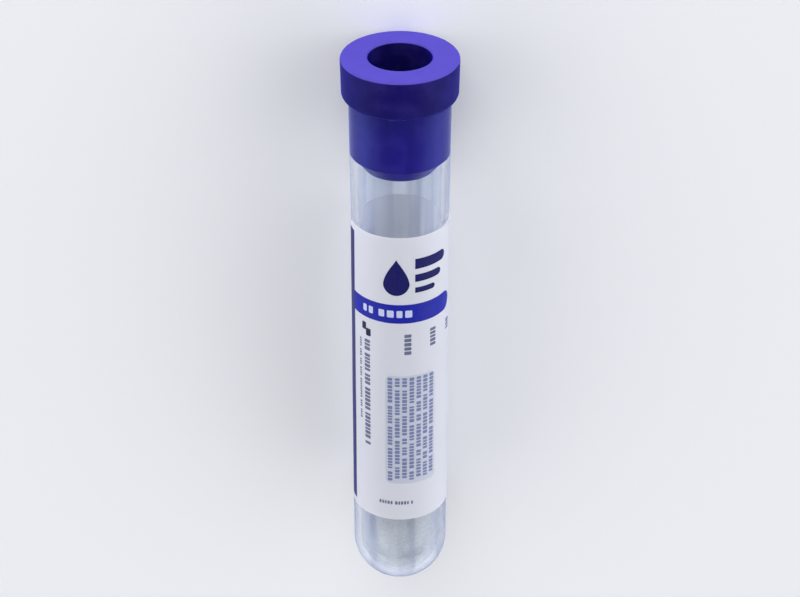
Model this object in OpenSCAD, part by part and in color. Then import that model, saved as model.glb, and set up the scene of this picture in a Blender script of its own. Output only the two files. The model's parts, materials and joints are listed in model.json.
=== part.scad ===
// Blood collection tube with a rubber stopper, a wrap label and a dried additive.
// It lies on its side: the axis runs along +X towards the stopper and rises a little,
// because the stopper's head is wider than the tube. The print of the label faces +Z.
// Each piece is drawn upright on the Z axis, with the tip of the round end at z = 0,
// and laid down by lying().

/* [Tube] */
// Length from the tip of the round end to the rim
tube_length = 75; // [70:1:120]
// Outer diameter of the straight body
body_d = 12.8; // [12:0.1:13.2]
// Outer diameter at the mouth, which is a little wider for the stopper
mouth_d = 13.2; // [12.8:0.1:14]
// Wall thickness of the straight body
wall = 0.95; // [0.6:0.05:1.4]
// Length over which the wall thickens towards the mouth
flare_length = 17; // [12:0.5:17]
// Rounding of the rim's two edges
rim_round = 0.3; // [0.1:0.05:0.4]

/* [Stopper head] */
// Diameter of the head at its top face
head_d = 15.2; // [14.8:0.1:18]
// Height of the head above the rim
head_height = 5.6; // [4:0.1:8]
// How much narrower the head's radius is at its lower end
head_draft = 0.1; // [0:0.02:0.2]
// Rounding of the head's top edge
head_top_round = 0.4; // [0.2:0.05:0.8]
// Rounding of the head's lower edge
head_low_round = 0.9; // [0.4:0.1:1]

/* [Needle well] */
// Diameter of the well in the head's top face
well_d = 8.2; // [6:0.1:9]
// Depth of the well, which has a flat floor
well_depth = 5.2; // [3:0.1:6]
// Rounding of the well's mouth
well_round = 0.3; // [0.1:0.05:0.6]

/* [Plug] */
// Length of the plug below the rim
plug_length = 9.8; // [8:0.1:12]
// Length of the plug's tapered lower end
plug_taper = 1.7; // [1:0.1:3]
// Diameter of the plug's lower face
plug_end_d = 9; // [8.4:0.1:9.6]
// Radial gap between plug and bore, where the real rubber is squeezed
plug_gap = 0.02; // [0.01:0.01:0.05]
// Diameter of the hollow in the plug's lower face
hollow_d = 6; // [4:0.1:7]
// Depth of that hollow at its crown
hollow_depth = 5.4; // [4:0.1:5.6]

/* [Label] */
// Distance from the top of the stopper to the label's upper edge
label_drop = 22.8; // [22.7:0.1:30]
// Height of the label along the tube
label_height = 44.6; // [30:0.1:50]
// Thickness of the paper with its glue
label_thickness = 0.08; // [0.05:0.01:0.12]
// Angle that the label covers
label_wrap = 330; // [280:1:350]
// Angle from the middle of the print to the label's first edge
label_first_edge = 82; // [70:1:100]

/* [Additive] */
// Height that the dried film reaches above the tip
film_height = 16; // [10:0.5:20]
// Thickness of the film
film_thickness = 0.05; // [0.03:0.01:0.1]

/* [Hidden] */
$fn = 96;
edge_steps = 4;
dome_steps = 12;

body_r = body_d / 2;
bore_r = body_r - wall;
mouth_r = mouth_d / 2;
top = tube_length + head_height;

head_r = head_d / 2;
head_low_r = head_r - head_draft;
well_r = well_d / 2;
well_floor = top - well_depth;
plug_r = bore_r - plug_gap;
plug_end = tube_length - plug_length;
plug_end_r = plug_end_d / 2;
plug_end_round = 0.4;
taper_angle = atan2(plug_r - plug_end_r, plug_taper);
hollow_r = hollow_d / 2;
hollow_round = 0.3;
hollow_crown = plug_end + hollow_depth;

label_low = top - label_drop - label_height;

// Centres, in the half section, of the head's two edge roundings
head_top_centre = [head_r - head_top_round, top - head_top_round];
head_low_centre = [head_low_r - head_low_round, tube_length + head_low_round];

// Angle at which the axis rises when the round end and one rounded edge lie on the ground
function resting_rise(centre, round_r) =
    let (along = centre[1] - body_r)
    acos((body_r - round_r) / norm([centre[0], along])) - atan2(along, centre[0]);

rise = max(
    resting_rise(head_top_centre, head_top_round),
    resting_rise(head_low_centre, head_low_round)
);

// Ends of the lying piece along X before it is centred, and the height of its tip
x_first = body_r * cos(rise) - body_r;
x_last = head_top_centre[1] * cos(rise) + head_top_centre[0] * sin(rise) + head_top_round;
x_shift = -(x_first + x_last) / 2;
z_shift = body_r * (1 - sin(rise));

// Points on an arc in the half section, from one angle to another
function arc(centre, r, from, to, steps) = [
    for (i = [0 : steps])
        let (angle = from + (to - from) * i / steps)
        centre + r * [cos(angle), sin(angle)]
];
function edge(centre, r, from, to) = arc(centre, r, from, to, edge_steps);
function dome(centre, r, from, to) = arc(centre, r, from, to, dome_steps);

module lying() {
    translate([x_shift, 0, z_shift]) rotate([0, 90 - rise, 0]) children();
}

module tube() {
    outside = concat(
        dome([0, body_r], body_r, -90, 0),
        [[body_r, tube_length - flare_length]],
        edge([mouth_r - rim_round, tube_length - rim_round], rim_round, 0, 90)
    );
    inside = concat(
        edge([bore_r + rim_round, tube_length - rim_round], rim_round, 90, 180),
        dome([0, body_r], bore_r, 0, -90)
    );
    color("lightsteelblue", 0.4)
        lying() rotate_extrude() polygon(concat(outside, inside));
}

module stopper() {
    well = concat(
        [[0, well_floor], [well_r, well_floor]],
        edge([well_r + well_round, top - well_round], well_round, 180, 90)
    );
    head = concat(
        edge(head_top_centre, head_top_round, 90, 0),
        edge(head_low_centre, head_low_round, 0, -90)
    );
    plug = concat(
        [[plug_r, tube_length], [plug_r, plug_end + plug_taper]],
        edge([plug_end_r - plug_end_round, plug_end + plug_end_round], plug_end_round, -taper_angle, -90)
    );
    hollow = concat(
        edge([hollow_r + hollow_round, plug_end + hollow_round], hollow_round, 270, 180),
        dome([0, hollow_crown - hollow_r], hollow_r, 0, 90)
    );
    color("slateblue")
        lying() rotate_extrude() polygon(concat(well, head, plug, hollow));
}

module label() {
    color("white")
        lying() rotate([0, 0, 180 - label_first_edge])
            rotate_extrude(angle = label_wrap)
                translate([body_r, label_low]) square([label_thickness, label_height]);
}

module additive() {
    color("whitesmoke")
        lying() rotate_extrude() polygon(concat(
            dome([0, body_r], bore_r, -90, 0),
            [[bore_r, film_height], [bore_r - film_thickness, film_height]],
            dome([0, body_r], bore_r - film_thickness, 0, -90)
        ));
}

tube();
stopper();
label();
additive();
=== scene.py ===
"""Looks of a blood collection tube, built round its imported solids.

The tube lies on a pale floor with its rubber stopper towards +X and the print of its
label upwards. Every visible piece is made in millimetres on the tube's own axes and is
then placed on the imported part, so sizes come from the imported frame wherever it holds
them, and from the dataclass fields below where it doesn't.
"""

from __future__ import annotations

import json
import logging
import math
import random
from collections.abc import Callable
from dataclasses import dataclass
from enum import Enum
from functools import partial

import bpy
import numpy as np
from bpy.types import ID, Material, Mesh, Node, NodeSocket, NodeTree, Object
from mathutils import Matrix, Vector

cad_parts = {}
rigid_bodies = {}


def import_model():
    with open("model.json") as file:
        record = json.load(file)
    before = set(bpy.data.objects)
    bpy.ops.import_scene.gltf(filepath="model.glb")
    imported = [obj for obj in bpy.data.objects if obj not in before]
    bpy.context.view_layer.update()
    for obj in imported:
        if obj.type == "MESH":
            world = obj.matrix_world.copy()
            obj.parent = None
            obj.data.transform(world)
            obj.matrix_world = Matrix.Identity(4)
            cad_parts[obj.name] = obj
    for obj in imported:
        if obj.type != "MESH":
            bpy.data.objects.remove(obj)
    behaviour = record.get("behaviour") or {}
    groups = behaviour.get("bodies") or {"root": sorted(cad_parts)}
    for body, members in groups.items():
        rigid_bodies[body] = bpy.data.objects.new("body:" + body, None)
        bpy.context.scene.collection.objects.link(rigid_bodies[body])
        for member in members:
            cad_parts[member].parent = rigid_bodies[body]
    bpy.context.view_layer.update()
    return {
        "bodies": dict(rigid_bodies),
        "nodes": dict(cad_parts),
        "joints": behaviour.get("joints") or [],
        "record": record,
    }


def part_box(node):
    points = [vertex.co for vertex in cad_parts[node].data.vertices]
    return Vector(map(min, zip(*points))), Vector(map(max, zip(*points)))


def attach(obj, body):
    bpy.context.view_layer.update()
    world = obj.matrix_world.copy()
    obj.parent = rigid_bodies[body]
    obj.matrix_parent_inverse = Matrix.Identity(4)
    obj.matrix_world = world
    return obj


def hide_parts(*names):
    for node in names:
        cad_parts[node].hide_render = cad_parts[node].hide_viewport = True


LOG = logging.getLogger("blood_collection_tube")
MM = 0.001
FRAME_ASPECT = 597 / 800

Section = list[tuple[float, float]]
Triples = list[tuple[float, float, float]]
Adder = Callable[..., Node]


# ---- small tools


def linear(hex_code: str) -> tuple[float, float, float, float]:
    """Turns an sRGB hex value to linear colour.

    Args:
        hex_code: Colour such as "#8090A0".

    Returns:
        Linear red, green and blue, with an alpha of one.
    """
    shares = [int(hex_code[i : i + 2], 16) / 255 for i in (1, 3, 5)]
    return (*[s / 12.92 if s <= 0.04045 else ((s + 0.055) / 1.055) ** 2.4 for s in shares], 1.0)


def add_node(
    tree: NodeTree, kind: str, inputs: dict[str | int, object] | None = None, **settings: object
) -> Node:
    """Adds a node with its settings and links.

    Args:
        tree: Shader or geometry node tree.
        kind: Type name of the node.
        inputs: For each input's name or number, a value, or what to link it from: a
            socket, or a node for its first output that is in use.
        **settings: Values for the node's own properties.

    Returns:
        The new node.
    """
    node = tree.nodes.new(kind)
    for name, value in settings.items():
        setattr(node, name, value)
    for key, value in (inputs or {}).items():
        if isinstance(value, Node):
            value = next(output for output in value.outputs if output.enabled)
        if isinstance(value, NodeSocket):
            tree.links.new(value, node.inputs[key])
        else:
            node.inputs[key].default_value = value
    return node


def in_scene(name: str, data: ID) -> Object:
    """Makes an object and links it to the scene.

    Args:
        name: Name of the object.
        data: Its mesh, lamp or camera.

    Returns:
        The object.
    """
    thing = bpy.data.objects.new(name, data)
    bpy.context.scene.collection.objects.link(thing)
    return thing


def arc(centre: tuple[float, float], radius: float, start: float, end: float, steps: int) -> Section:
    """Points along an arc of a half section.

    Args:
        centre: Radius and height of the arc's centre.
        radius: Radius of the arc.
        start: First angle in degrees, from outwards towards the stopper.
        end: Last angle in degrees.
        steps: Number of segments.

    Returns:
        The points, from the first angle to the last.
    """
    angles = [math.radians(start + (end - start) * i / steps) for i in range(steps + 1)]
    return [(centre[0] + radius * math.cos(a), centre[1] + radius * math.sin(a)) for a in angles]


@dataclass(frozen=True)
class TubeAxis:
    """The tube's own axes: front to the print, right of the print, along to the stopper.

    Attributes:
        tip: Lowest point of the round end, on the axis, in the part's frame in metres.
        along: Direction of the axis towards the stopper.
    """

    tip: Vector
    along: Vector

    @classmethod
    def of(cls, frame: dict) -> TubeAxis:
        """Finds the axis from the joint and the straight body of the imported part.

        Args:
            frame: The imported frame.

        Returns:
            The axes.
        """
        along = Vector(frame["joints"][0]["axis"]).normalized()
        mount = mount_named(frame, "straight_body")
        radius = mount["dims"]["r_mm"] * MM
        point = Vector(mount["pos_m"])
        centre_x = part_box("tube")[0].x + radius
        centre = point + along * ((centre_x - point.x) / along.x)
        return cls(centre - along * radius, along)

    @property
    def right(self) -> Vector:
        """Direction to the right of the print."""
        return Vector((0, -1, 0))

    @property
    def front(self) -> Vector:
        """Direction in which the middle of the print faces."""
        return self.right.cross(self.along)

    def to_part(self) -> Matrix:
        """Matrix from millimetres on these axes to metres in the part's frame."""
        turn = Matrix((self.front, self.right, self.along)).transposed()
        return Matrix.Translation(self.tip) @ turn.to_4x4() @ Matrix.Scale(MM, 4)

    def height_of(self, point: Vector) -> float:
        """Distance from the tip along the axis, in millimetres, of a point in the part's frame."""
        return (point - self.tip).dot(self.along) / MM


def mount_named(frame: dict, name: str) -> dict:
    """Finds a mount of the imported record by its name."""
    return next(m for m in frame["record"]["mounts"] if m["name"] == name)


def grown(
    points: Triples,
    tree: NodeTree,
    values: dict[str, object],
    vectors: dict[str, Triples] | None = None,
) -> Mesh:
    """Runs a geometry tree on points.

    Args:
        points: The points that the tree starts from.
        tree: The geometry tree.
        values: Value of each of the tree's inputs, by its name.
        vectors: Vectors that the points carry, by the attribute's name.

    Returns:
        The tree's result as a plain mesh.
    """
    seeds = bpy.data.meshes.new("seeds")
    seeds.from_pydata(points, [], [])
    for name, vector in (vectors or {}).items():
        carried = seeds.attributes.new(name, "FLOAT_VECTOR", "POINT")
        carried.data.foreach_set("vector", np.array(vector, float).ravel())
    maker = in_scene("maker", seeds)
    modifier = maker.modifiers.new("maker", "NODES")
    modifier.node_group = tree
    for item in tree.interface.items_tree:
        if item.name in values:
            modifier[item.identifier] = values[item.name]
    graph = bpy.context.evaluated_depsgraph_get()
    mesh = bpy.data.meshes.new_from_object(maker.evaluated_get(graph), depsgraph=graph)
    bpy.data.objects.remove(maker)
    bpy.data.meshes.remove(seeds)
    return mesh


def new_geometry_tree(name: str, inputs: dict[str, str]) -> tuple[NodeTree, Adder]:
    """Makes an empty geometry tree with its inputs.

    Args:
        name: Name of the tree.
        inputs: Kind of each input's socket, by the input's name.

    Returns:
        The tree, and the function that adds a node to it.
    """
    tree = bpy.data.node_groups.new(name, "GeometryNodeTree")
    for title, kind in inputs.items():
        tree.interface.new_socket(title, in_out="INPUT", socket_type=f"NodeSocket{kind}")
    tree.interface.new_socket("Mesh", in_out="OUTPUT", socket_type="NodeSocketGeometry")
    return tree, partial(add_node, tree)


def turned_tree() -> NodeTree:
    """Builds the tree that turns a half section round the tube's axis.

    Returns:
        The tree. Its section is a row of points with the radius in X and the height in
        Z, from the axis back to the axis, that runs up where the skin faces outwards.
    """
    inputs = {"Section": "Geometry", "Segments": "Int", "Finish": "Material"}
    tree, add = new_geometry_tree("turned_skin", inputs)
    given = add("NodeGroupInput").outputs
    known = {"segments": given["Segments"], "index": add("GeometryNodeInputIndex")}
    for name, operation, *terms in (
        ("around", "ADD", "segments", 1.0),
        ("turns", "DIVIDE", "index", "around"),
        ("ring", "FLOOR", "turns"),
        ("step", "MODULO", "index", "around"),
        ("share", "DIVIDE", "step", "segments"),
        ("angle", "MULTIPLY", "share", math.tau),
    ):
        numbers = {i: known.get(term, term) for i, term in enumerate(terms)}
        known[name] = add("ShaderNodeMath", numbers, operation=operation)
    rings = add("GeometryNodeAttributeDomainSize", {"Geometry": given["Section"]}).outputs["Point Count"]
    grid = add("GeometryNodeMeshGrid", {"Vertices X": rings, "Vertices Y": known["around"]})
    place = add("GeometryNodeInputPosition")
    sampled = {"Geometry": given["Section"], "Value": place, "Index": known["ring"]}
    point = add("GeometryNodeSampleIndex", sampled, data_type="FLOAT_VECTOR")
    moved = add(
        "ShaderNodeVectorRotate", {"Vector": point, "Angle": known["angle"]}, rotation_type="Z_AXIS"
    )
    skin = add("GeometryNodeSetPosition", {"Geometry": grid, "Position": moved})
    outwards = add("GeometryNodeFlipFaces", {"Mesh": skin})
    closed = add("GeometryNodeMergeByDistance", {"Geometry": outwards, "Distance": 0.0005})
    real = add("GeometryNodeRealizeInstances", {"Geometry": closed})
    dressed = add("GeometryNodeSetMaterial", {"Geometry": real, "Material": given["Finish"]})
    add("NodeGroupOutput", {"Mesh": dressed})
    return tree


def turned(section: Section, material: Material, segments: int = 256) -> Mesh:
    """Turns a half section into a closed skin.

    Args:
        section: Radius and height of each point, as turned_tree takes them.
        material: Finish of the skin.
        segments: Number of steps round the axis.

    Returns:
        The mesh, in millimetres on the tube's axes.
    """
    tree = bpy.data.node_groups.get("turned_skin") or turned_tree()
    points = [(radius, 0.0, height) for radius, height in section]
    return grown(points, tree, {"Segments": segments, "Finish": material})


# ---- materials


class Tint(str, Enum):
    """Plain colours of the object and its setting, as sRGB hex values."""

    RUBBER = "#160F57"
    # painted highlight: the top face's paler colour stands in for the light that falls on it
    RUBBER_PAINTED_HIGHLIGHT = "#5649B3"
    RUBBER_PRESSED = "#170D78"
    # painted shade: the needle well is darker than the rubber, for the shade in it
    RUBBER_PAINTED_WELL_SHADE = "#0E0A48"
    RUBBER_BLOOM = "#2A24FF"
    PET = "#F5F9FD"
    PET_FLOW = "#D3D9E6"
    PAPER = "#F0F1F6"
    NAVY_INK = "#12115A"
    BAND_INK = "#161F9C"
    STRIPE_INK = "#2B2563"
    DARK_INK = "#26284A"
    TEXT_INK = "#6A6E8A"
    GREY_INK = "#757CA2"
    FIELD_INK = "#BDC2D0"
    WHITE_INK = "#C2C7E6"
    SALT = "#F2F2F0"
    FLOOR = "#F3F4F7"
    ZENITH = "#73777F"
    HORIZON = "#F6F7F9"
    MIRRORED_ZENITH = "#565B70"
    MIRRORED_HORIZON = "#93A6EE"
    MIRRORED_FLOOR = "#929BC4"


def new_material(name: str) -> tuple[Material, Adder]:
    """Makes an empty node material.

    Args:
        name: Name of the finish.

    Returns:
        The material, and the function that adds a node to its tree.
    """
    material = bpy.data.materials.new(name)
    material.use_nodes = True
    material.node_tree.nodes.clear()
    return material, partial(add_node, material.node_tree)


@dataclass(frozen=True)
class MouldedRubber:
    """Matt butyl rubber, moulded. The eye sees soft shading; the top face is painted paler, a painted
    highlight for the light that falls on it.

    Attributes:
        name: Name of the finish.
        tint: Colour of the rubber, but for the top face.
        gloss: Strength of the skin's reflection, where 0.5 is that of bare rubber.
        bloom: Strength of the bloom on the skin, which turns its edges bluer.
        grain: Strength of the moulded grain.
        roughness: Mean roughness of the skin.
        mottle_mm: Size of the patches in which tone and gloss vary.
        grain_mm: Size of the grain, drawn coarser than it is so that it shows.
        top_light_share: How much of the painted highlight's colour shows on the top face.
    """

    name: str = "moulded_butyl_rubber"
    tint: Tint = Tint.RUBBER
    gloss: float = 0.09
    bloom: float = 0.28
    grain: float = 0.3
    roughness: float = 0.46
    mottle_mm: float = 2.4
    grain_mm: float = 0.22
    top_light_share: float = 0.93

    def build(self) -> Material:
        """Builds the material.

        Returns:
            The material.
        """
        material, add = new_material(self.name)
        point = add("ShaderNodeTexCoord").outputs["Object"]
        mottle, grain = (
            add("ShaderNodeTexNoise", {"Vector": point, "Scale": 1 / (size * MM), "Detail": detail})
            for size, detail in ((self.mottle_mm, 4.0), (self.grain_mm, 2.0))
        )
        patches = add(
            "ShaderNodeMapRange",
            {"Value": mottle, "From Min": 0.3, "From Max": 0.7, "To Min": -0.05, "To Max": 0.1},
        )
        # the top face is mixed towards a paler colour: a painted highlight
        painted_light_on_top = add("ShaderNodeAttribute", attribute_name="painted_light_on_top")
        top_light_mix = add(
            "ShaderNodeMath",
            {0: painted_light_on_top.outputs["Fac"], 1: self.top_light_share, 2: patches},
            operation="MULTIPLY_ADD",
            use_clamp=True,
        )
        colour = add(
            "ShaderNodeMix",
            {"Factor": top_light_mix, "A": linear(self.tint), "B": linear(Tint.RUBBER_PAINTED_HIGHLIGHT)},
            data_type="RGBA",
        )
        roughness = add("ShaderNodeMath", {0: patches, 1: self.roughness}, operation="ADD")
        bump = add("ShaderNodeBump", {"Height": grain, "Strength": self.grain, "Distance": 0.03 * MM})
        skin = add(
            "ShaderNodeBsdfPrincipled",
            {
                "Base Color": colour,
                "Roughness": roughness,
                "Specular IOR Level": self.gloss,
                "IOR": 1.5,
                "Sheen Weight": self.bloom,
                "Sheen Roughness": 0.5,
                "Sheen Tint": linear(Tint.RUBBER_BLOOM),
                "Normal": bump,
            },
        )
        add("ShaderNodeOutputMaterial", {"Surface": skin})
        return material


@dataclass(frozen=True)
class ClearPet:
    """Injection-moulded PET, polished by its mould. The eye sees clear walls, faintly
    blue, with long soft flow lines that bend what lies behind them.

    Attributes:
        roughness: Roughness of the polished skin.
        flow_mm: Distance between flow lines round the tube.
        light_share: Share of the lamps' light that one skin lets through.
    """

    roughness: float = 0.03
    flow_mm: float = 2.4
    light_share: float = 0.98

    def build(self) -> Material:
        """Builds the material. Light on what it holds comes straight through the wall,
        as it nearly does, and only what the eye looks at directly is bent.

        Returns:
            The material.
        """
        material, add = new_material("clear_moulded_pet")
        point = add("ShaderNodeTexCoord").outputs["Object"]
        stretched = add("ShaderNodeMapping", {"Vector": point, "Scale": (0.03, 1.0, 1.0)})
        flow = add(
            "ShaderNodeTexNoise", {"Vector": stretched, "Scale": 1 / (self.flow_mm * MM), "Detail": 1.2}
        )
        bump = add("ShaderNodeBump", {"Height": flow, "Strength": 0.4, "Distance": 0.05 * MM})
        lines = add(
            "ShaderNodeMapRange",
            {"Value": flow, "From Min": 0.5, "From Max": 0.66},
            interpolation_type="SMOOTHSTEP",
        )
        clearness = add(
            "ShaderNodeMix",
            {"Factor": lines, "A": linear(Tint.PET), "B": linear(Tint.PET_FLOW)},
            data_type="RGBA",
        )
        wall = add(
            "ShaderNodeBsdfPrincipled",
            {
                "Base Color": clearness,
                "Roughness": self.roughness,
                "IOR": 1.575,
                "Transmission Weight": 1.0,
                "Normal": bump,
            },
        )
        share = self.light_share
        open_wall = add("ShaderNodeBsdfTransparent", {"Color": (share, share, share, 1.0)})
        path = add("ShaderNodeLightPath").outputs
        for lighting in ("Is Diffuse Ray", "Is Shadow Ray"):
            wall = add("ShaderNodeMixShader", {0: path[lighting], 1: wall, 2: open_wall})
        add("ShaderNodeOutputMaterial", {"Surface": wall})
        return material


@dataclass(frozen=True)
class CoatedPaper:
    """Coated label paper. The eye sees a soft white with a low gloss, and from inside
    the tube a paler grey where light comes through.

    Attributes:
        roughness: Roughness of the coating.
        gloss: Strength of its reflection, where 0.5 is that of bare plastic.
        fibre_mm: Size of the fibre relief, drawn coarser than it is so that it shows.
        light_share: Share of its light that each face passes on.
    """

    roughness: float = 0.4
    gloss: float = 0.3
    fibre_mm: float = 0.4
    light_share: float = 0.45

    def build(self) -> Material:
        """Builds the material.

        Returns:
            The material.
        """
        material, add = new_material("coated_label_paper")
        point = add("ShaderNodeTexCoord").outputs["Object"]
        fibre = add(
            "ShaderNodeTexNoise", {"Vector": point, "Scale": 1 / (self.fibre_mm * MM), "Detail": 4.0}
        )
        bump = add("ShaderNodeBump", {"Height": fibre, "Strength": 0.25, "Distance": 0.015 * MM})
        face = add(
            "ShaderNodeBsdfPrincipled",
            {
                "Base Color": linear(Tint.PAPER),
                "Roughness": self.roughness,
                "Specular IOR Level": self.gloss,
                "IOR": 1.5,
                "Normal": bump,
            },
        )
        through = add("ShaderNodeBsdfTranslucent", {"Color": linear(Tint.PAPER)})
        sheet = add("ShaderNodeMixShader", {0: self.light_share, 1: face, 2: through})
        add("ShaderNodeOutputMaterial", {"Surface": sheet})
        return material


@dataclass(frozen=True)
class PrintingInk:
    """Offset ink on the label. The eye sees flat colour, a little uneven in its density.

    Attributes:
        tint: Colour of the ink, which names it too.
        density_mm: Size of the patches in which its density varies.
    """

    tint: Tint
    density_mm: float = 0.5

    def build(self) -> Material:
        """Builds the material.

        Returns:
            The material.
        """
        material, add = new_material(self.tint.name.lower())
        point = add("ShaderNodeTexCoord").outputs["Object"]
        density = add(
            "ShaderNodeTexNoise", {"Vector": point, "Scale": 1 / (self.density_mm * MM), "Detail": 3.0}
        )
        thinness = add("ShaderNodeMapRange", {"Value": density, "To Max": 0.015})
        colour = add(
            "ShaderNodeMix",
            {"Factor": thinness, "A": linear(self.tint), "B": linear(Tint.PAPER)},
            data_type="RGBA",
        )
        ink = add(
            "ShaderNodeBsdfPrincipled",
            {"Base Color": colour, "Roughness": 0.4, "Specular IOR Level": 0.15, "IOR": 1.5},
        )
        add("ShaderNodeOutputMaterial", {"Surface": ink})
        return material


@dataclass(frozen=True)
class DriedSalt:
    """Anticoagulant salt dried on the wall. The eye sees a broken, misty white film.

    Attributes:
        speck_mm: Size of the dried drops.
        cover: Share of the wall that the thickest of the film hides.
    """

    speck_mm: float = 0.45
    cover: float = 0.1

    def build(self) -> Material:
        """Builds the material.

        Returns:
            The material.
        """
        material, add = new_material("dried_salt_film")
        point = add("ShaderNodeTexCoord").outputs["Object"]
        specks = add(
            "ShaderNodeTexNoise", {"Vector": point, "Scale": 1 / (self.speck_mm * MM), "Detail": 3.0}
        )
        cover = add(
            "ShaderNodeMapRange",
            {"Value": specks, "From Min": 0.5, "From Max": 0.72, "To Min": 0.015, "To Max": self.cover},
        )
        film = add(
            "ShaderNodeBsdfPrincipled", {"Base Color": linear(Tint.SALT), "Roughness": 0.7, "Alpha": cover}
        )
        add("ShaderNodeOutputMaterial", {"Surface": film})
        return material


# ---- pieces


@dataclass(frozen=True)
class TubeSizes:
    """Sizes shared by the pieces, in millimetres.

    Attributes:
        body_r: Outer radius of the straight body.
        top: Height of the stopper's top face over the tip.
        head_r: Radius of the stopper's head at its top.
        well_r: Radius of the needle well.
        length: Length of the tube.
        bore_r: Radius of the bore.
        mouth_r: Outer radius of the mouth.
        flare: Length over which the wall thickens towards the mouth.
        contact: How far a piece that clings to the wall is drawn into it, so that no
            sliver of air is seen between them.
    """

    body_r: float
    top: float
    head_r: float
    well_r: float
    length: float = 75.0
    bore_r: float = 5.45
    mouth_r: float = 6.6
    flare: float = 17.0
    contact: float = 0.02

    @classmethod
    def of(cls, frame: dict, axis: TubeAxis) -> TubeSizes:
        """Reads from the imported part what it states.

        Args:
            frame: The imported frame.
            axis: The tube's axes.

        Returns:
            The sizes.
        """
        low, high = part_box("stopper")
        face = Vector(mount_named(frame, "stopper_face")["pos_m"])
        return cls(
            body_r=mount_named(frame, "straight_body")["dims"]["r_mm"],
            top=axis.height_of(face),
            head_r=(high.y - low.y) / 2 / MM,
            well_r=mount_named(frame, "needle_well")["dims"]["r_mm"],
        )


@dataclass(frozen=True)
class OnTube:
    """Something that takes its sizes and its place from the tube.

    Attributes:
        sizes: Sizes shared by the pieces.
        axis: The tube's axes.
    """

    sizes: TubeSizes
    axis: TubeAxis

    def placed(self, name: str, mesh: Mesh, material: Material) -> Object:
        """Places a mesh on the part and finishes it.

        Args:
            name: Name of the piece.
            mesh: Closed skin in millimetres on the tube's axes.
            material: Finish of the whole piece.

        Returns:
            The object, linked to the scene, with its place in its mesh.
        """
        mesh.transform(self.axis.to_part())
        mesh.shade_smooth()
        mesh.set_sharp_from_angle(angle=math.radians(40))
        mesh.materials.clear()
        mesh.materials.append(material)
        mesh.name = name
        return in_scene(name, mesh)


@dataclass(frozen=True)
class TubeWall(OnTube):
    """The clear round-bottomed tube.

    Attributes:
        rim_round: Rounding of the rim's edges.
    """

    rim_round: float = 0.3

    def section(self) -> Section:
        """Half section of the wall.

        Returns:
            Its points, up the outside and down the inside.
        """
        s = self.sizes
        straight = np.linspace(s.body_r, s.length - s.flare, 12)[1:]
        flared = np.linspace((s.body_r, s.length - s.flare), (s.mouth_r, s.length - self.rim_round), 8)
        bore = np.linspace(s.length - self.rim_round, s.body_r, 24)[1:-1]
        return [
            *arc((0, s.body_r), s.body_r, -90, 0, 40),
            *[(s.body_r, z) for z in straight],
            *map(tuple, flared[1:-1]),
            *arc((s.mouth_r - self.rim_round, s.length - self.rim_round), self.rim_round, 0, 90, 6),
            *arc((s.bore_r + self.rim_round, s.length - self.rim_round), self.rim_round, 90, 180, 6),
            *[(s.bore_r, z) for z in bore],
            *arc((0, s.body_r), s.bore_r, 0, -90, 36),
        ]

    def build(self, material: Material) -> Object:
        """Builds the wall in its finish."""
        return self.placed("clear_tube", turned(self.section(), material), material)


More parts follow.
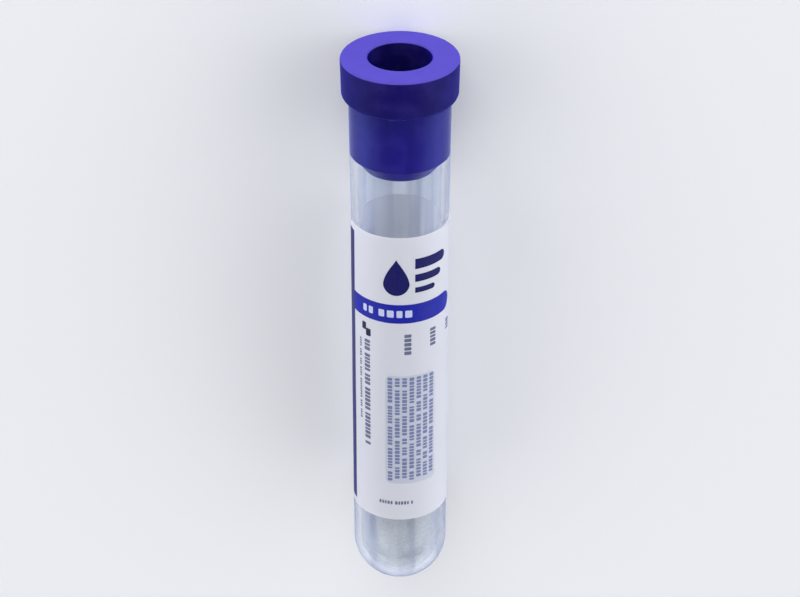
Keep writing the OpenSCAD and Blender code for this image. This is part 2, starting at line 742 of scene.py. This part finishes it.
@dataclass(frozen=True)
class Stopper(OnTube):
    """The moulded rubber stopper with its needle well and its plug.

    Attributes:
        draft: How much narrower the head's radius is at its lower end.
        top_round: Rounding of the head's top edge.
        low_round: Rounding of the head's lower edge.
        well_depth: Depth of the needle well.
        well_round: Rounding of the well's mouth.
        plug_length: Length of the plug below the rim.
        plug_taper: Length of the plug's tapered lower end.
        plug_end_r: Radius of the plug's lower face.
        hollow_r: Radius of the hollow in the plug's lower face.
        hollow_depth: Depth of that hollow.
        edge_round: Rounding of the plug's lower edges.
        floor_round: Rounding of the edge of the well's floor.
    """

    draft: float = 0.1
    top_round: float = 0.4
    low_round: float = 0.9
    well_depth: float = 5.2
    well_round: float = 0.3
    plug_length: float = 9.8
    plug_taper: float = 1.7
    plug_end_r: float = 4.5
    hollow_r: float = 3.0
    hollow_depth: float = 5.4
    edge_round: float = 0.35
    floor_round: float = 0.25

    def section(self) -> Section:
        """Half section of the stopper.

        Returns:
            Its points, from the hollow's crown round the outside to the well's floor.
        """
        s = self.sizes
        plug_r = s.bore_r + s.contact
        end = s.length - self.plug_length
        under_head = s.length - s.contact
        low_r = s.head_r - self.draft
        crown = end + self.hollow_depth
        lean = math.degrees(math.atan2(plug_r - self.plug_end_r, self.plug_taper))
        well_floor = s.top - self.well_depth
        return [
            *arc((0, crown - self.hollow_r), self.hollow_r, 90, 0, 16),
            *arc((self.hollow_r + self.edge_round, end + self.edge_round), self.edge_round, 180, 270, 6),
            *arc(
                (self.plug_end_r - self.edge_round, end + self.edge_round), self.edge_round, -90, -lean, 6
            ),
            (plug_r, end + self.plug_taper),
            *[(plug_r, z) for z in np.linspace(end + self.plug_taper + 0.1, under_head, 8)],
            (low_r - self.low_round, under_head),
            *arc((low_r - self.low_round, s.length + self.low_round), self.low_round, -90, 0, 12),
            *arc((s.head_r - self.top_round, s.top - self.top_round), self.top_round, 0, 90, 8),
            *[
                (r, s.top)
                for r in np.linspace(s.head_r - self.top_round, s.well_r + self.well_round, 6)[1:-1]
            ],
            *arc((s.well_r + self.well_round, s.top - self.well_round), self.well_round, 90, 180, 6),
            (s.well_r, well_floor + self.floor_round),
            *arc((s.well_r - self.floor_round, well_floor + self.floor_round), self.floor_round, 0, -90, 4),
            (0, well_floor),
        ]

    def build(self, material: Material, pressed: Material, well_shade: Material) -> Object:
        """Builds the stopper, with an attribute that marks its top face, where the colour holds a painted
        highlight.

        Args:
            material: Finish of the bare rubber.
            pressed: Finish of the rubber that the wall presses on.
            well_shade: Finish of the needle well, a darker copy of the rubber as painted shade.

        Returns:
            The piece.
        """
        s = self.sizes
        mesh = turned(self.section(), material)
        mark = mesh.attributes.new("painted_light_on_top", "FLOAT", "POINT")
        # the painted highlight of the top face ends within the rounding of its edge
        top_light_depth = 0.7 * self.top_round
        for vertex, share in zip(mesh.vertices, mark.data):
            outside_well = vertex.co.xy.length > s.well_r + 0.02
            share.value = float(s.top - vertex.co.z < top_light_depth and outside_well)
        finishes = []
        for face in mesh.polygons:
            # the needle well takes the darker copy of the rubber: painted shade
            in_shaded_well = face.center.xy.length < s.well_r + 0.05
            below_rim = face.center.z < s.length
            finishes.append(1 if below_rim else 2 if in_shaded_well else 0)
        piece = self.placed("rubber_stopper", mesh, material)
        mesh.materials.append(pressed)
        mesh.materials.append(well_shade)
        mesh.polygons.foreach_set("material_index", np.array(finishes, np.int32))
        return piece


def rounded_rows(
    low: tuple[float, float], high: tuple[float, float], corner: float, between: int
) -> Triples:
    """Rows of a rectangle with round corners, laid flat.

    Args:
        low: Arc and height of the lower left corner.
        high: Arc and height of the upper right corner.
        corner: Rounding of the corners.
        between: Number of rows between the corners.

    Returns:
        Height, left arc and right arc of each row, from the lowest up.
    """
    near = [corner * (1 - math.cos(math.radians(a))) for a in range(0, 91, 15)]
    heights = {
        *[round(low[1] + d, 6) for d in near],
        *[round(high[1] - d, 6) for d in near],
        *np.linspace(low[1] + corner, high[1] - corner, between).round(6),
    }
    rows = []
    for height in sorted(heights):
        into = max(corner - (height - low[1]), corner - (high[1] - height), 0)
        inset = corner - math.sqrt(max(corner**2 - into**2, 0))
        rows.append((height, low[0] + inset, high[0] - inset))
    return rows


@dataclass(frozen=True)
class LabelSheet(OnTube):
    """How the label lies on the tube, and how flat shapes are laid on it.

    Flat places are given as the arc to the right of the middle of the print and the
    height over the tip, in millimetres.

    Attributes:
        drop: Distance from the stopper's top to the label's upper edge.
        height: Height of the label.
        thickness: Thickness of the paper with its glue.
        first_deg: Angle from the middle of the print to the label's left edge.
        wrap_deg: Angle that the label covers.
        corner: Rounding of the label's corners.
        ripple: Depth of the paper's unevenness.
        column: Greatest width of a face of a shape that lies on the tube.
    """

    drop: float = 22.8
    height: float = 44.6
    thickness: float = 0.08
    first_deg: float = 82.0
    wrap_deg: float = 330.0
    corner: float = 1.0
    ripple: float = 0.006
    column: float = 0.3

    @property
    def radius(self) -> float:
        """Radius at which arcs are measured."""
        return self.sizes.body_r + self.thickness

    @property
    def left(self) -> float:
        """Arc of the label's left edge."""
        return -math.radians(self.first_deg) * self.radius

    @property
    def right(self) -> float:
        """Arc of the label's right edge."""
        return self.left + math.radians(self.wrap_deg) * self.radius

    @property
    def upper(self) -> float:
        """Height of the label's upper edge."""
        return self.sizes.top - self.drop

    @property
    def lower(self) -> float:
        """Height of the label's lower edge."""
        return self.upper - self.height

    def laid(self, flat: np.ndarray) -> np.ndarray:
        """Bends flat points round the tube.

        Args:
            flat: Arc, height and lift over the bare wall of each point, one a row.

        Returns:
            Points on the tube's axes.
        """
        angle = flat[:, 0] / self.radius
        waves = np.sin(7 * angle + 0.21 * flat[:, 1]) + np.sin(4 * angle - 0.37 * flat[:, 1])
        radius = self.sizes.body_r + flat[:, 2] + self.ripple * waves * (flat[:, 2] > 0)
        return np.c_[radius * np.cos(angle), radius * np.sin(angle), flat[:, 1]]

    def shape(self, name: str, rows: Triples, lift: float, thickness: float, material: Material) -> Object:
        """Makes a thin closed shape that lies on the tube.

        Args:
            name: Name of the piece.
            rows: Height, left arc and right arc of each row, from the lowest up.
            lift: Height of the shape's lower side over the bare wall.
            thickness: Thickness of the shape.
            material: Finish of the shape.

        Returns:
            The piece.
        """
        widest = max(right - left for _, left, right in rows)
        columns = max(4, math.ceil(widest / self.column))
        flat = [
            (left + (right - left) * j / columns, height, level)
            for level in (lift + thickness, lift)
            for height, left, right in rows
            for j in range(columns + 1)
        ]
        across = columns + 1
        layer = len(rows) * across
        faces: list[tuple[int, ...]] = []
        for i in range(len(rows) - 1):
            for j in range(columns):
                a = i * across + j
                quad = (a, a + 1, a + across + 1, a + across)
                faces.append(quad)
                faces.append(tuple(layer + k for k in reversed(quad)))
        last = (len(rows) - 1) * across
        rim = [
            *range(across),
            *[i * across + columns for i in range(1, len(rows))],
            *[last + j for j in range(columns - 1, -1, -1)],
            *[i * across for i in range(len(rows) - 2, 0, -1)],
        ]
        for a, b in zip(rim, rim[1:] + rim[:1]):
            faces.append((a, layer + a, layer + b, b))
        mesh = bpy.data.meshes.new(name)
        mesh.from_pydata(self.laid(np.array(flat)).tolist(), [], faces)
        return self.placed(name, mesh, material)

    def build(self, material: Material) -> Object:
        """Builds the paper itself in its finish."""
        rows = rounded_rows((self.left, self.lower), (self.right, self.upper), self.corner, between=60)
        return self.shape(
            "paper_label", rows, -self.sizes.contact, self.thickness + self.sizes.contact, material
        )


@dataclass(frozen=True)
class Mark:
    """A small block of print that stands for a letter or a word.

    Attributes:
        arc: Arc of its middle.
        height: Height of its middle.
        wide: Size round the tube.
        tall: Size along the tube.
    """

    arc: float
    height: float
    wide: float
    tall: float


@dataclass(frozen=True)
class PrintLine:
    """A line of small print, cut into blocks. Drops are distances from the stopper's top.

    Attributes:
        place: Arc of the line, or its drop if it runs round the tube.
        start: Drop at which it begins, or the arc.
        end: Drop at which it ends, or the arc.
        size: Height of its letters.
        block: Shortest and longest block.
        word: Fewest and most blocks in a word.
        gap: Space between blocks.
        space: Space between words.
        seed: Seed of its lengths.
        down: Whether it runs down the tube, and not round it.
    """

    place: float
    start: float
    end: float
    size: float
    block: tuple[float, float]
    word: tuple[int, int]
    gap: float
    space: float
    seed: int
    down: bool = True

    def blocks(self) -> list[tuple[float, float]]:
        """Cuts the line into blocks.

        Returns:
            Middle and length of each block.
        """
        dice = random.Random(self.seed)
        found, at = [], self.start
        while True:
            for _ in range(dice.randint(*self.word)):
                length = dice.uniform(*self.block)
                if at + length > self.end:
                    return found
                found.append((at + length / 2, length))
                at += length + self.gap
            at += self.space

    def marks(self, top: float) -> list[Mark]:
        """Puts the blocks where they lie.

        Args:
            top: Height that drops are measured from.

        Returns:
            The line's marks.
        """
        if self.down:
            return [Mark(self.place, top - at, self.size, length) for at, length in self.blocks()]
        return [Mark(at, top - self.place, length, self.size) for at, length in self.blocks()]


SMALL_PRINT = {
    # down the tube, left of the middle
    "side_print": (
        PrintLine(-4.75, 39.1, 56.4, 0.95, block=(0.34, 0.56), word=(2, 8), gap=0.15, space=0.4, seed=3),
        PrintLine(-6.0, 39.3, 52.5, 0.4, block=(0.2, 0.32), word=(3, 8), gap=0.12, space=0.3, seed=4),
    ),
    # short words down the tube, under the band
    "field_names": tuple(
        PrintLine(*where, 0.95, block=(0.36, 0.54), word=(9, 9), gap=0.15, space=0, seed=seed)
        for seed, where in enumerate(((1.05, 37.4, 40.7), (4.75, 37.2, 40.3), (8.2, 37.4, 39.6)), 5)
    ),
    # a block of pale lines down the tube
    "paragraph_print": tuple(
        PrintLine(place, 44.2, 61, 0.66, block=(0.28, 0.52), word=(2, 8), gap=0.13, space=0.4, seed=seed)
        for seed, place in enumerate((-1.35 + 0.98 * i for i in range(7)), 20)
    ),
    # one line of tiny print near the label's lower edge
    "footnote_print": (
        PrintLine(
            64.6, -2.9, 2.1, 0.55, block=(0.22, 0.36), word=(2, 6), gap=0.12, space=0.22, seed=9, down=False
        ),
    ),
}


@dataclass(frozen=True)
class LabelPrint:
    """The generic print of the label: fields of colour, and blocks for letters.

    Drops are distances from the stopper's top.

    Attributes:
        sheet: The label that it is printed on.
        thickness: Thickness of the ink, drawn thicker than it is.
        sink: How far the ink is drawn into the paper.
        stripe_wide: Width of the stripe along the label's left edge.
        band_drop: Drop of the band's upper edge.
        band_tall: Height of the band.
        band_end: Arc of the band's round end.
        sign_drop: Drop of the drop-shaped sign's foot.
        sign_middle: Arc of the sign's middle.
        sign_tall: Height of the sign.
        sign_r: Radius of its round foot.
    """

    sheet: LabelSheet
    thickness: float = 0.014
    sink: float = 0.004
    stripe_wide: float = 1.75
    band_drop: float = 32.8
    band_tall: float = 2.84
    band_end: float = 8.4
    sign_drop: float = 31.4
    sign_middle: float = -0.5
    sign_tall: float = 5.4
    sign_r: float = 1.75

    @property
    def lift(self) -> float:
        """Height of the ink's lower side over the bare wall, just inside the paper."""
        return self.sheet.thickness - self.sink

    @property
    def top(self) -> float:
        """Height that drops are measured from."""
        return self.sheet.sizes.top

    def field(self, name: str, rows: Triples, ink: Material) -> Object:
        """Prints a shape in one colour, from its rows as LabelSheet.shape takes them."""
        return self.sheet.shape(name, rows, self.lift, self.thickness, ink)

    def stripe(self, ink: Material) -> Object:
        """Builds the stripe along the left edge, from corner to corner.

        Args:
            ink: Finish of the stripe.

        Returns:
            The piece.
        """
        sheet = self.sheet
        inside = sheet.left + 0.02
        heights = np.linspace(sheet.lower + sheet.corner, sheet.upper - sheet.corner, 60)
        rows = [(z, inside, sheet.left + self.stripe_wide) for z in heights]
        return self.field("edge_stripe", rows, ink)

    def bar(self, name: str, place: tuple[float, float, float], tall: float, ink: Material) -> Object:
        """Builds a bar round the tube with a round right end.

        Args:
            name: Name of the piece.
            place: Drop of the bar's middle, its left arc and its right arc.
            tall: Height of the bar.
            ink: Finish of the bar.

        Returns:
            The piece.
        """
        drop, left, right = place
        r = tall / 2
        rows = []
        for step in range(-10, 11):
            turn = math.radians(9 * step)
            height = self.top - drop + r * math.sin(turn)
            rows.append((height, left, right - r + r * math.cos(turn)))
        return self.field(name, rows, ink)

    def band(self, ink: Material) -> Object:
        """Builds the band that starts at the stripe and overlaps it a little.

        Args:
            ink: Finish of the band.

        Returns:
            The piece.
        """
        overlap = 0.1
        middle = self.band_drop + self.band_tall / 2
        left = self.sheet.left + self.stripe_wide - overlap
        return self.bar("name_band", (middle, left, self.band_end), self.band_tall, ink)

    def drop_sign(self, ink: Material) -> Object:
        """Builds a plain drop over the band.

        Args:
            ink: Finish of the drop.

        Returns:
            The piece.
        """
        foot, middle, r = self.top - self.sign_drop, self.sign_middle, self.sign_r
        steps, thinnest = 32, 0.01
        rows = []
        for step in range(steps + 1):
            z = self.sign_tall * (1 - math.cos(math.pi * step / steps)) / 2
            if z <= r:
                half = math.sqrt(max(r * r - (z - r) ** 2, 0))
            else:
                # the flanks leave the round foot full, and turn hollow towards the point
                share = (z - r) / (self.sign_tall - r)
                half = r * (1 - share) ** 1.2 * (1 + 0.9 * share)
            half = max(half, thinnest)
            rows.append((foot + z, middle - half, middle + half))
        return self.field("drop_sign", rows, ink)

    def heading(self, ink: Material) -> list[Object]:
        """Builds the bars that stand for a heading, right of the drop.

        Args:
            ink: Finish of the bars.

        Returns:
            The pieces, from the uppermost down.
        """
        left = 2.0
        rows = ((26.75, 7.0, 1.5), (28.9, 6.1, 1.1), (30.7, 5.0, 0.8))
        return [
            self.bar(f"heading_bar_{i}", (drop, left, right), tall, ink)
            for i, (drop, right, tall) in enumerate(rows, 1)
        ]

    def band_words(self) -> list[Mark]:
        """Blocks for the letters of two words on the band.

        Returns:
            The blocks, from left to right.
        """
        height = self.top - self.band_drop - self.band_tall / 2
        start, tall, gap, space = -5.4, 1.06, 0.36, 0.5
        marks, at = [], start
        for wide in (0.62, 0.66, 0, 0.8, 0.92, 0.78, 0.94):
            if wide:
                marks.append(Mark(at + wide / 2, height, wide, tall))
            at += wide + (gap if wide else space)
        return marks

    def small_sign(self) -> list[Mark]:
        """A small stepped sign at the head of the side lines."""
        return [Mark(-5.3, self.top - 37.1, 0.7, 1.15), Mark(-4.55, self.top - 37.9, 0.8, 1.15)]

    def paragraph_field(self, ink: Material) -> Object:
        """Builds the pale field under the block of small print."""
        low, high = (-1.95, self.top - 61.3), (5.1, self.top - 43.9)
        return self.field("paragraph_field", rounded_rows(low, high, corner=0.7, between=30), ink)

    def small_print(self, name: str, ink: Material) -> Object:
        """Builds one of the pieces of small print.

        Args:
            name: Name of the piece, as in SMALL_PRINT.
            ink: Finish of the print.

        Returns:
            The piece.
        """
        marks = [mark for line in SMALL_PRINT[name] for mark in line.marks(self.top)]
        return self.blocks(name, marks, ink)

    def blocks(self, name: str, marks: list[Mark], ink: Material) -> Object:
        """Makes print blocks with a geometry tree and lays them on the label.

        Args:
            name: Name of the piece.
            marks: Place and size of each block.
            ink: Finish of the blocks.

        Returns:
            The piece.
        """
        middles = [(m.arc, m.height, self.lift) for m in marks]
        mesh = grown(
            middles,
            bpy.data.node_groups.get("print_blocks") or print_tree(),
            {"Corner radius": 0.1, "Columns": 5, "Rows": 6, "Thickness": self.thickness, "Ink": ink},
            {"block_size": [(m.wide, m.tall, 1.0) for m in marks], "block_middle": middles},
        )
        flat = np.array([vertex.co for vertex in mesh.vertices], float)
        mesh.vertices.foreach_set("co", self.sheet.laid(flat).ravel())
        return self.sheet.placed(name, mesh, ink)


def print_tree() -> NodeTree:
    """Builds the tree that puts a flat block with round corners on each point.

    Returns:
        The tree. Its points carry their own place as block_middle, and the block's
        width and height as block_size.
    """
    inputs = {
        "Points": "Geometry",
        "Corner radius": "Float",
        "Columns": "Int",
        "Rows": "Int",
        "Thickness": "Float",
        "Ink": "Material",
    }
    tree, add = new_geometry_tree("print_blocks", inputs)
    given = add("NodeGroupInput").outputs
    position = add("GeometryNodeInputPosition")
    grid = add("GeometryNodeMeshGrid", {"Vertices X": given["Columns"], "Vertices Y": given["Rows"]})
    raised = add(
        "GeometryNodeExtrudeMesh",
        {"Mesh": grid, "Offset": (0.0, 0.0, 1.0), "Offset Scale": given["Thickness"], "Individual": False},
        mode="FACES",
    )
    under = add("GeometryNodeFlipFaces", {"Mesh": grid})
    both = add("GeometryNodeJoinGeometry")
    for side in (raised, under):
        tree.links.new(side.outputs["Mesh"], both.inputs[0])
    closed = add("GeometryNodeMergeByDistance", {"Geometry": both, "Distance": 0.001})
    unit_block = add(
        "GeometryNodeStoreNamedAttribute",
        {"Geometry": closed, "Name": "unit_place", "Value": position},
        data_type="FLOAT_VECTOR",
    )
    blocks = add("GeometryNodeInstanceOnPoints", {"Points": given["Points"], "Instance": unit_block})
    real = add("GeometryNodeRealizeInstances", {"Geometry": blocks})

    unit, size, middle = (
        add("GeometryNodeInputNamedAttribute", {"Name": name}, data_type="FLOAT_VECTOR")
        for name in ("unit_place", "block_size", "block_middle")
    )
    at = add("ShaderNodeSeparateXYZ", {0: unit}).outputs
    full = add("ShaderNodeSeparateXYZ", {0: size}).outputs
    known = {"across": at["X"], "along": at["Y"], "wide": full["X"], "tall": full["Y"]}
    known["corner"] = given["Corner radius"]
    # rows crowd towards both ends, where the corners turn
    for name, operation, *terms in (
        ("turn", "MULTIPLY", "along", math.pi),
        ("crowded", "SINE", "turn"),
        ("half_tall", "MULTIPLY", "tall", 0.5),
        ("y", "MULTIPLY", "crowded", "half_tall"),
        ("from_middle", "ABSOLUTE", "y"),
        ("straight", "SUBTRACT", "half_tall", "corner"),
        ("past", "SUBTRACT", "from_middle", "straight"),
        ("share", "DIVIDE", "past", "corner"),
        ("square", "MULTIPLY", "share", "share"),
        ("rest", "SUBTRACT", 1.0, "square"),
        ("cosine", "SQRT", "rest"),
        ("inset_share", "SUBTRACT", 1.0, "cosine"),
        ("inset", "MULTIPLY", "inset_share", "corner"),
        ("width", "MULTIPLY_ADD", "inset", -2.0, "wide"),
        ("x", "MULTIPLY", "across", "width"),
    ):
        numbers = {i: known.get(term, term) for i, term in enumerate(terms)}
        clamped = name in ("share", "rest")
        known[name] = add("ShaderNodeMath", numbers, operation=operation, use_clamp=clamped)
    shaped = add("ShaderNodeCombineXYZ", {"X": known["x"], "Y": known["y"], "Z": at["Z"]})
    place = add("ShaderNodeVectorMath", {0: middle, 1: shaped}, operation="ADD")
    rounded = add("GeometryNodeSetPosition", {"Geometry": real, "Position": place})
    inked = add("GeometryNodeSetMaterial", {"Geometry": rounded, "Material": given["Ink"]})
    add("NodeGroupOutput", {"Mesh": inked})
    return tree


@dataclass(frozen=True)
class DriedFilm(OnTube):
    """The additive, dried on the inside of the round end.

    Attributes:
        reach: Height over the tip that the film reaches at most.
        thickness: Thickness of the film.
        bay_depth: Mean distance of its uneven edge below that reach.
    """

    reach: float = 15.6
    thickness: float = 0.05
    bay_depth: float = 1.4

    def build(self, material: Material) -> Object:
        """Builds the film, whose upper edge is uneven.

        Args:
            material: Finish of the film.

        Returns:
            The piece.
        """
        s = self.sizes
        outer, inner = s.bore_r + s.contact, s.bore_r - self.thickness
        centre = (0, s.body_r)
        section = [
            *arc(centre, outer, -90, 0, 24),
            *[(outer, z) for z in np.linspace(s.body_r, self.reach, 8)[1:]],
            *[(inner, z) for z in np.linspace(self.reach, s.body_r, 8)[:-1]],
            *arc(centre, inner, 0, -90, 24),
        ]
        mesh = turned(section, material, segments=192)
        for vertex in mesh.vertices:
            x, y, z = vertex.co
            angle = math.atan2(y, x)
            share = min(max((z - s.body_r) / (self.reach - s.body_r), 0), 1)
            tide = 0.8 * math.sin(2 * angle + 0.6) + 0.4 * math.sin(5 * angle)
            vertex.co.z -= share * (self.bay_depth + tide + 0.15 * math.sin(13 * angle))
        return self.placed("additive_film", mesh, material)


# ---- studio


@dataclass(frozen=True)
class Viewpoint(OnTube):
    """The camera: above the tube and on the stopper's side, with the stopper at the top.

    Attributes:
        beyond_top: Distance past the stopper's top face, along the axis.
        away: Distance from the axis, towards the front.
        fill: Share of the picture's height that the tube fills.
    """

    beyond_top: float = 139.3
    away: float = 285.7
    fill: float = 0.9

    def build(self) -> None:
        """Makes the scene's camera."""
        to_part = self.axis.to_part()
        place = to_part @ Vector((self.away, 0, self.sizes.top + self.beyond_top))
        ends = [
            (to_part @ Vector(end) - place).normalized()
            for end in ((0, 0, 0), (-self.sizes.head_r, 0, self.sizes.top))
        ]
        look = (ends[0] + ends[1]).normalized()
        half_height = ends[0].angle(ends[1]) / 2
        data = bpy.data.cameras.new("camera")
        half_picture = math.tan(half_height) / self.fill
        data.lens = data.sensor_width / 2 * FRAME_ASPECT / half_picture
        data.clip_start = 0.01
        camera = in_scene("camera", data)
        bpy.context.scene.camera = camera
        side = look.cross(self.axis.along).normalized()
        up = side.cross(look)
        turn = Matrix((side, up, -look)).transposed().to_4x4()
        camera.matrix_world = Matrix.Translation(place) @ turn


@dataclass(frozen=True)
class Lamp:
    """A round studio lamp.

    Attributes:
        name: Name of the lamp.
        place: Where it stands, in metres.
        size: Its diameter, in metres.
        power: Power in watts.
    """

    name: str
    place: tuple[float, float, float]
    size: float
    power: float

    def build(self) -> None:
        """Makes the lamp, turned to the tube."""
        data = bpy.data.lights.new(self.name, "AREA")
        data.shape = "DISK"
        data.size = self.size
        data.energy = self.power
        lamp = in_scene(self.name, data)
        lamp.location = self.place
        lamp.rotation_euler = (-Vector(self.place)).to_track_quat("-Z", "Y").to_euler()


def mirrored(add: Adder) -> Node:
    """Adds nodes that tell whether a ray comes from a mirror reflection.

    Args:
        add: Adds a node to a material's or the world's tree.

    Returns:
        The node that gives one for such a ray, and zero for any other.
    """
    path = add("ShaderNodeLightPath").outputs
    rays = {0: path["Is Glossy Ray"], 1: path["Is Reflection Ray"]}
    return add("ShaderNodeMath", rays, operation="MULTIPLY")


@dataclass(frozen=True)
class Studio:
    """The floor, the lamps and the sky round the tube.

    Attributes:
        floor_size: Length of the floor's side, in metres.
        lamps: The lamps.
        sky: Strength of the sky in reflections and through the clear wall.
        sky_ahead: Strength of the sky's light from before and behind the tube.
        sky_left: Strength of its light from the left of the print.
        sky_right: Strength of its light from the right of the print.
    """

    floor_size: float = 12.0
    lamps: tuple[Lamp, ...] = (
        Lamp("key_lamp", (2.80, 0.42, 1.26), size=2.37, power=54.0),
        Lamp("top_lamp", (1.58, 0.18, 2.98), size=2.7, power=12.0),
    )
    sky: float = 1.38
    sky_ahead: float = 0.35
    sky_left: float = 2.8
    sky_right: float = 3.5

    def build(self) -> None:
        """Builds the setting."""
        half = self.floor_size / 2
        mesh = bpy.data.meshes.new("floor")
        corners = [(-half, -half, 0), (half, -half, 0), (half, half, 0), (-half, half, 0)]
        mesh.from_pydata(corners, [], [(0, 1, 2, 3)])
        mesh.materials.append(self.floor_finish())
        in_scene("floor", mesh)
        for lamp in self.lamps:
            lamp.build()
        self.paint_sky()

    def floor_finish(self) -> Material:
        """Builds the floor's plain matt paint, which reflections look through, so that
        no horizon shows in the clear wall.

        Returns:
            The material.
        """
        material, add = new_material("pale_floor_paint")
        paint = add(
            "ShaderNodeBsdfPrincipled",
            {"Base Color": linear(Tint.FLOOR), "Roughness": 0.7, "Specular IOR Level": 0.1},
        )
        opening = add("ShaderNodeBsdfTransparent")
        seen = add("ShaderNodeMixShader", {0: mirrored(add), 1: paint, 2: opening})
        add("ShaderNodeOutputMaterial", {"Surface": seen})
        return material

    def paint_sky(self) -> None:
        """Paints the sky: pale at the horizon, greyer overhead, and brightest on both
        sides of the tube. In reflections it is darker overhead and pale blue elsewhere,
        as a room with windows is."""
        world = bpy.data.worlds.new("studio_sky")
        world.use_nodes = True
        world.node_tree.nodes.clear()
        add = partial(add_node, world.node_tree)
        direction = add("ShaderNodeTexCoord").outputs["Generated"]
        part = add("ShaderNodeSeparateXYZ", {0: direction}).outputs
        overhead = add("ShaderNodeMapRange", {"Value": part["Z"], "From Min": 0.35, "From Max": 0.85})
        lighting = add(
            "ShaderNodeMix",
            {"Factor": overhead, "A": linear(Tint.HORIZON), "B": linear(Tint.ZENITH)},
            data_type="RGBA",
        )
        reflected = linear(Tint.MIRRORED_HORIZON)
        for near, far, tint in ((-0.05, -0.45, Tint.MIRRORED_FLOOR), (-0.1, 0.8, Tint.MIRRORED_ZENITH)):
            reach = {"Value": part["Z"], "From Min": near, "From Max": far}
            share = add("ShaderNodeMapRange", reach, interpolation_type="SMOOTHSTEP")
            reflected = add(
                "ShaderNodeMix", {"Factor": share, "A": reflected, "B": linear(tint)}, data_type="RGBA"
            )
        colour = add(
            "ShaderNodeMix", {"Factor": mirrored(add), "A": lighting, "B": reflected}, data_type="RGBA"
        )
        level = self.sky_ahead
        for side, strength in ((1, self.sky_left), (-1, self.sky_right)):
            lit = add(
                "ShaderNodeMapRange",
                {
                    "Value": part["Y"],
                    "From Min": 0.3 * side,
                    "From Max": 0.95 * side,
                    "To Max": strength - self.sky_ahead,
                },
                interpolation_type="SMOOTHSTEP",
            )
            level = add("ShaderNodeMath", {0: level, 1: lit}, operation="ADD")
        path = add("ShaderNodeLightPath").outputs
        for seen, value in (
            (path["Is Transmission Ray"], self.sky), (mirrored(add), self.sky), (path["Is Camera Ray"], 1.0)
        ):
            level = add("ShaderNodeMix", {"Factor": seen, "A": level, "B": value})
        glow = add("ShaderNodeBackground", {"Color": colour, "Strength": level})
        add("ShaderNodeOutputWorld", {"Surface": glow})
        bpy.context.scene.world = world


# ---- main


def dress(piece: Object, body: str, slot: str, *nodes: str) -> None:
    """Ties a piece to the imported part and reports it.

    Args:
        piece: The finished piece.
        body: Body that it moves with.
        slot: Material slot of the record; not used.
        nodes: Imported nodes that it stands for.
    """
    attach(piece, body)
    if nodes:
        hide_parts(*nodes)
    LOG.info("%s rides on %s, %d faces", piece.name, body, len(piece.data.polygons))


def main() -> None:
    """Builds the tube's pieces, the studio and the camera."""
    logging.basicConfig(level=logging.INFO, format="%(message)s")
    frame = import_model()
    axis = TubeAxis.of(frame)
    sizes = TubeSizes.of(frame, axis)
    Viewpoint(sizes, axis).build()
    Studio().build()
    bpy.context.scene.view_settings.view_transform = "Standard"

    dress(TubeWall(sizes, axis).build(ClearPet().build()), "tube", "clear_tube", "tube")
    rubber = MouldedRubber().build()
    pressed = MouldedRubber("pressed_butyl_rubber", Tint.RUBBER_PRESSED, gloss=0.06, grain=0.0).build()
    # a darker copy of the rubber for the needle well: painted shade
    well_shade = MouldedRubber("painted_shade_well_rubber", Tint.RUBBER_PAINTED_WELL_SHADE, gloss=0.06, grain=0.2).build()
    stopper = Stopper(sizes, axis).build(rubber, pressed, well_shade)
    dress(stopper, "stopper", "stopper_rubber", "stopper")
    dress(DriedFilm(sizes, axis).build(DriedSalt().build()), "tube", "dried_additive", "additive")

    sheet = LabelSheet(sizes, axis)
    dress(sheet.build(CoatedPaper().build()), "tube", "label_paper", "label")
    inks = {tint: PrintingInk(tint).build() for tint in Tint if tint.name.endswith("_INK")}
    printed = LabelPrint(sheet)
    over_print = LabelPrint(sheet, thickness=printed.thickness + 0.01)
    for piece in (
        printed.stripe(inks[Tint.STRIPE_INK]),
        printed.band(inks[Tint.BAND_INK]),
        printed.drop_sign(inks[Tint.NAVY_INK]),
        *printed.heading(inks[Tint.NAVY_INK]),
        printed.paragraph_field(inks[Tint.FIELD_INK]),
        over_print.blocks("band_words", over_print.band_words(), inks[Tint.WHITE_INK]),
        printed.blocks("small_sign", printed.small_sign(), inks[Tint.DARK_INK]),
        printed.small_print("side_print", inks[Tint.TEXT_INK]),
        printed.small_print("field_names", inks[Tint.TEXT_INK]),
        over_print.small_print("paragraph_print", inks[Tint.GREY_INK]),
        printed.small_print("footnote_print", inks[Tint.TEXT_INK]),
    ):
        dress(piece, "tube", "print_ink")


if __name__ == "__main__":
    main()
